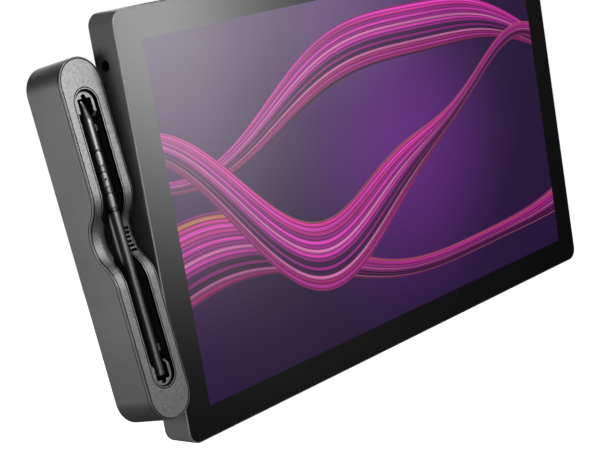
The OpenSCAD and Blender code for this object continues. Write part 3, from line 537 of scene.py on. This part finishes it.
def striped_band(g, across, up, band):
    """Colour and cover of one flowing band of fine stripes."""
    level, swing, pace, start, half, twist, seed = band
    angle = g.math("ADD", g.math("MULTIPLY", across, pace), start)
    ripple = g.math("SINE", g.math("ADD", g.math("MULTIPLY", angle, RIPPLE_PACE), seed))
    curve = g.math("ADD", g.math("MULTIPLY", g.math("SINE", angle), swing), level)
    curve = g.math("ADD", curve, g.math("MULTIPLY", ripple, RIPPLE_SWING * swing))
    turn = g.math("SINE", g.math("ADD", g.math("MULTIPLY", across, twist), seed))
    width = g.span(turn, -1.0, 1.0, TWIST_WIDTH * half, half)
    side = g.math("DIVIDE", g.math("SUBTRACT", up, curve), width)
    cover = g.span(g.math("ABSOLUTE", side), 1.0, BAND_EDGE)
    drift = g.math("ADD", g.math("MULTIPLY", across, STRIPE_DRIFT), STRIPE_START + seed)
    count = g.math("ADD", g.math("MULTIPLY", side, STRIPES), drift)
    pick = g.add("ShaderNodeTexWhiteNoise", noise_dimensions="1D")
    g.feed(pick.inputs["W"], g.math("FLOOR", count))
    ramp = g.add("ShaderNodeValToRGB")
    ramp.color_ramp.interpolation = "CONSTANT"
    while len(ramp.color_ramp.elements) < len(STRIPE_COLOURS):
        ramp.color_ramp.elements.new(0.5)
    for element, (place, colour) in zip(ramp.color_ramp.elements, STRIPE_COLOURS):
        element.position = place
        element.color = (*colour, 1.0)
    g.feed(ramp.inputs[0], pick.outputs["Value"])
    off_middle = g.math("ABSOLUTE", g.math("SUBTRACT", g.math("FRACT", count), 0.5))
    groove = g.span(off_middle, 0.5, GROOVE_END, GROOVE_DARK, 1.0)
    lay = g.add("ShaderNodeCombineXYZ")
    g.feed(lay.inputs["X"], g.math("MULTIPLY", across, SHEEN_STRETCH))
    g.feed(lay.inputs["Y"], count)
    shimmer = g.noise(SHEEN_SCALE, vector=lay.outputs[0])
    sheen = g.span(shimmer, *NOISE_SPREAD, *SHEEN_RANGE)
    lit = g.math("ADD", side, g.math("MULTIPLY", turn, LIGHT_TWIST))
    light = g.span(lit, *LIGHT_SPAN, *LIGHT_RANGE)
    bright = g.add("ShaderNodeVectorMath", operation="SCALE")
    g.feed(bright.inputs[0], ramp.outputs[0])
    g.feed(bright.inputs["Scale"], g.math("MULTIPLY", light, g.math("MULTIPLY", groove, sheen)))
    return bright.outputs[0], cover


def reach_from(g, across, up, at, flat=1.0):
    """How far a point of the picture lies from a place on it, with its height counted in part."""
    aside = g.math("SUBTRACT", across, at[0])
    above = g.math("MULTIPLY", g.math("SUBTRACT", up, at[1]), flat)
    return g.math("SQRT", g.math("ADD", g.math("POWER", aside, 2.0), g.math("POWER", above, 2.0)))


def make_picture(g):
    """Colour of the lit picture, a violet glow crossed by striped bands, and 1 inside its edges."""
    apart = g.add("ShaderNodeSeparateXYZ")
    g.feed(apart.inputs[0], g.place())
    across = g.math("DIVIDE", apart.outputs["X"], PICTURE_W / 2)
    up = g.math("DIVIDE", apart.outputs["Z"], PICTURE_H / 2)
    slant = g.math("SUBTRACT", across, g.math("MULTIPLY", up, GROUND_LEAN))
    picture = g.mix(g.span(slant, *GROUND_MEET), GROUND_UPPER_LEFT, GROUND_LOWER_RIGHT)
    glow = g.span(reach_from(g, across, up, GLOW_AT, GLOW_FLAT), GLOW_REACH, 0.0)
    picture = g.mix(glow, picture, GLOW_COLOUR)
    pale = g.span(reach_from(g, across, up, PALE_AT), PALE_REACH, 0.0)
    picture = g.mix(pale, picture, PALE_COLOUR, "ADD")
    for band in BANDS:
        colour, cover = striped_band(g, across, up, band)
        picture = g.mix(cover, picture, colour)
    edge_x = g.math("LESS_THAN", g.math("ABSOLUTE", across), 1.0)
    edge_y = g.math("LESS_THAN", g.math("ABSOLUTE", up), 1.0)
    inside = g.math("MULTIPLY", edge_x, edge_y)
    return g.mix(inside, grey(0.0), picture), inside


def make_glass():
    """Etched cover glass: black printed border, glowing picture and a soft haze."""
    material, g, shader = new_material(
        "etched_cover_glass",
        Base_Color=(0.004, 0.004, 0.005, 1.0),
        Emission_Strength=1.0,
        Specular_IOR_Level=1.0,
        IOR=1.545,
    )
    picture, inside = make_picture(g)
    g.feed(shader.inputs["Emission Color"], picture)
    wipe = g.span(g.noise(WIPE_SCALE, detail=3.0), *NOISE_SPREAD, *GLASS_ROUGH)
    rougher = g.math("MULTIPLY", inside, PICTURE_ROUGHER)
    g.feed(shader.inputs["Roughness"], g.math("ADD", wipe, rougher))
    return material


def make_materials():
    """One finish for each kind of piece."""
    dress(
        satin("frame_dark_metal", (0.11, 0.11, 0.112), (0.26, 0.32), contrast=0.12, edge=0.05,
              Specular_IOR_Level=0.3),
        "left_rail", "right_rail", "top_rail", "bottom_rail",
    )
    dress(make_glass(), "cover_glass")
    dress(tray_paint("tray_shell_paint", (0.21, 0.21, 0.212), (0.43, 0.47), 0.88), "tray_shell")
    dress(
        capped("tray_plate_paint", (0.095, 0.095, 0.0955), (0.56, 0.59), bend=0.8),
        "tray_front_plate", "slot_trim",
    )
    dress(
        capped("pen_rest_paint", (0.095, 0.095, 0.0955), (0.56, 0.59), edge_round=0.8 * MM),
        "upper_pen_rest", "lower_pen_rest",
    )
    dress(
        satin("tub_black", (0.04, 0.04, 0.04), (0.6, 0.7), edge=0.0, dust=0.0, Specular_IOR_Level=0.15),
        "tray_tub",
    )
    # Spare nibs and their holder: dark plastic painted near black, darker than the pen's own nib, as
    # painted shade in their slots.
    dress(
        satin("nib_slot_shade_black", (0.006, 0.006, 0.006), (0.5, 0.6), edge=0.0, dust=0.0, Specular_IOR_Level=0.1),
        "nib_holder", "spare_nibs",
    )
    dress(
        pen_paint("pen_satin_black", (0.040, 0.040, 0.041), (0.38, 0.41)),
        "pen_front_barrel", "pen_nose", "pen_core",
    )
    dress(
        pen_paint("pen_smooth_black", (0.044, 0.044, 0.045), (0.37, 0.39)),
        "pen_rear_barrel", "pen_middle_barrel",
    )
    dress(
        pen_paint("pen_button_black", (0.056, 0.056, 0.057), (0.44, 0.47)),
        "pen_upper_button", "pen_lower_button",
    )
    dress(
        pen_paint("pen_button_dot_shade", (0.056, 0.056, 0.057), (0.44, 0.47), front_of("pen_middle_button")),
        "pen_middle_button",
    )
    dress(pen_paint("pen_ring_gloss", (0.045, 0.045, 0.045), (0.2, 0.24)), "pen_ring")
    dress(satin("nib_plastic", (0.1, 0.1, 0.1), (0.4, 0.5), edge=0.0), "pen_nib")
    dress(
        satin("rear_grained_plastic", (0.05, 0.05, 0.052), (0.5, 0.6), grain_size=0.7 * MM,
              relief=0.06 * MM),
        "rear_cover", "port_bay",
    )
    dress(
        satin("key_satin_plastic", (0.035, 0.035, 0.036), (0.4, 0.5)),
        "power_button", "touch_switch", "pivot_washer",
        *[f"{side}_key_{i}" for side in ("left", "right") for i in (1, 2, 3, 4)],
    )
    dress(satin("foot_rubber", (0.02, 0.02, 0.02), (0.75, 0.9), grain_size=1.0 * MM), "rubber_feet")
    dress(
        satin("blackened_steel", (0.09, 0.09, 0.092), (0.3, 0.42), Metallic=1.0),
        "cover_screws", "pivot_screw", "vesa_inserts", "accessory_inserts",
    )
    dress(
        satin("plated_shell", (0.62, 0.62, 0.63), (0.22, 0.32), contrast=0.08, Metallic=1.0),
        "video_socket", "data_sockets",
    )
    dress(satin("socket_black", (0.015, 0.015, 0.015), (0.3, 0.4)), "power_socket")
    dress(
        satin("bare_sheet", (0.6, 0.61, 0.62), (0.3, 0.4), contrast=0.08, Metallic=1.0),
        "shield_plate", "heat_sink",
    )
    dress(
        satin("board_green", (0.02, 0.09, 0.045), (0.3, 0.4), contrast=0.1),
        "pen_sensor_board", "main_board", "left_key_board", "right_key_board", "switch_board",
        "pen_circuit_board",
    )
    dress(satin("light_guide_white", (0.8, 0.8, 0.78), (0.4, 0.5), contrast=0.05), "backlight_unit")
    dress(satin("panel_dark", (0.05, 0.04, 0.08), (0.2, 0.3), contrast=0.05), "lcd_panel")
    dress(satin("coil_enamel", (0.4, 0.16, 0.06), (0.25, 0.35), Metallic=1.0), "pen_coil")


def make_world():
    """White to the camera, nearly dark to reflections, and a weak soft light on dull faces."""
    world = bpy.data.worlds.new("studio")
    bpy.context.scene.world = world
    world.use_nodes = True
    g = Graph(world.node_tree)
    sky = world.node_tree.nodes["Background"]
    path = g.add("ShaderNodeLightPath").outputs
    seen = g.math("MAXIMUM", path["Is Camera Ray"], path["Is Transmission Ray"])
    seen = g.math("MAXIMUM", seen, g.math("MULTIPLY", path["Is Glossy Ray"], ROOM_SHINY))
    dull = g.math("MULTIPLY", path["Is Diffuse Ray"], ROOM_DULL)
    g.feed(sky.inputs["Strength"], g.math("MAXIMUM", seen, dull))
    sky.inputs["Color"].default_value = (1.0, 1.0, 1.0, 1.0)


def flat_sheet(name, half_w, half_h, height=0.0):
    """A new level sheet with four corners."""
    mesh = bpy.data.meshes.new(name)
    corners = [(x * half_w, y * half_h, height) for x, y in ((-1, -1), (1, -1), (1, 1), (-1, 1))]
    mesh.from_pydata(corners, [], [(0, 1, 2, 3)])
    sheet = bpy.data.objects.new(name, mesh)
    bpy.context.scene.collection.objects.link(sheet)
    return sheet


def make_floor():
    """A plain floor well below the display, almost white to the camera and nearly dark to reflections."""
    floor = flat_sheet("floor", FLOOR_SIZE / 2, FLOOR_SIZE / 2, FLOOR_Z)
    material, g, shader = new_material("pale_floor", Roughness=0.9, Emission_Strength=1.0)
    path = g.add("ShaderNodeLightPath").outputs
    seen = g.math("MAXIMUM", path["Is Camera Ray"], path["Is Transmission Ray"])
    g.feed(shader.inputs["Emission Color"], g.mix(seen, grey(0.0), grey(FLOOR_SEEN)))
    tint = g.mix(path["Is Glossy Ray"], grey(FLOOR_DULL), grey(FLOOR_SHINY))
    g.feed(shader.inputs["Base Color"], tint)
    floor.data.materials.append(material)


def area_light(name, at, target, size, power, spared=()):
    """A soft lamp that lights all nodes but the spared ones."""
    data = bpy.data.lights.new(name, "AREA")
    data.shape = "RECTANGLE"
    data.size, data.size_y = size
    data.energy = power
    lamp = bpy.data.objects.new(name, data)
    lamp.location = at
    direction = Vector(target) - Vector(at)
    lamp.rotation_mode = "QUATERNION"
    lamp.rotation_quaternion = direction.to_track_quat("-Z", "Y")
    lamp.visible_camera = False
    bpy.context.scene.collection.objects.link(lamp)
    if spared:
        kept_dark = bpy.data.collections.new(f"spared_by_{name}")
        for title in spared:
            kept_dark.objects.link(nodes[title])
        for entry in kept_dark.collection_objects:
            entry.light_linking.link_state = "EXCLUDE"
        lamp.light_linking.receiver_collection = kept_dark


def key_panel():
    """A tall narrow light in front on the right, brightest at its middle."""
    turn, rise = math.radians(KEY_TURN), math.radians(KEY_RISE)
    toward = Vector((math.sin(turn) * math.cos(rise), -math.cos(turn) * math.cos(rise), math.sin(rise)))
    panel = flat_sheet("key_panel", KEY_W / 2, KEY_FADES * KEY_FADE)
    aim = toward.to_track_quat("-Z", "Y").to_matrix().to_4x4()
    panel.matrix_world = Matrix.Translation(toward * KEY_AWAY) @ aim
    panel.visible_camera = False
    material = bpy.data.materials.new("key_light")
    material.use_nodes = True
    g = Graph(material.node_tree)
    g.tree.nodes.remove(g.tree.nodes["Principled BSDF"])
    light = g.add("ShaderNodeEmission")
    apart = g.add("ShaderNodeSeparateXYZ")
    g.feed(apart.inputs[0], g.place())
    fall = g.math("MULTIPLY", g.math("POWER", apart.outputs["Y"], 2.0), -0.5 / KEY_FADE ** 2)
    front = g.math("SUBTRACT", 1.0, g.add("ShaderNodeNewGeometry").outputs["Backfacing"])
    glow = g.math("MULTIPLY", g.math("POWER", math.e, fall), KEY_BRIGHT)
    g.feed(light.inputs["Strength"], g.math("MULTIPLY", glow, front))
    g.feed(g.tree.nodes["Material Output"].inputs["Surface"], light.outputs[0])
    panel.data.materials.append(material)


def make_lights():
    """The key light, a fill on the left, two small lamps in front that spare the glass, and one behind."""
    key_panel()
    area_light("left_fill", *LEFT_FILL)
    area_light("near_front", *NEAR_FRONT, spared=("cover_glass",))
    area_light("pen_strip", *PEN_STRIP, spared=("cover_glass",))
    area_light("rear", *REAR)


make_camera()
make_world()
make_floor()
make_lights()
make_materials()
bpy.context.scene.view_settings.view_transform = "Standard"
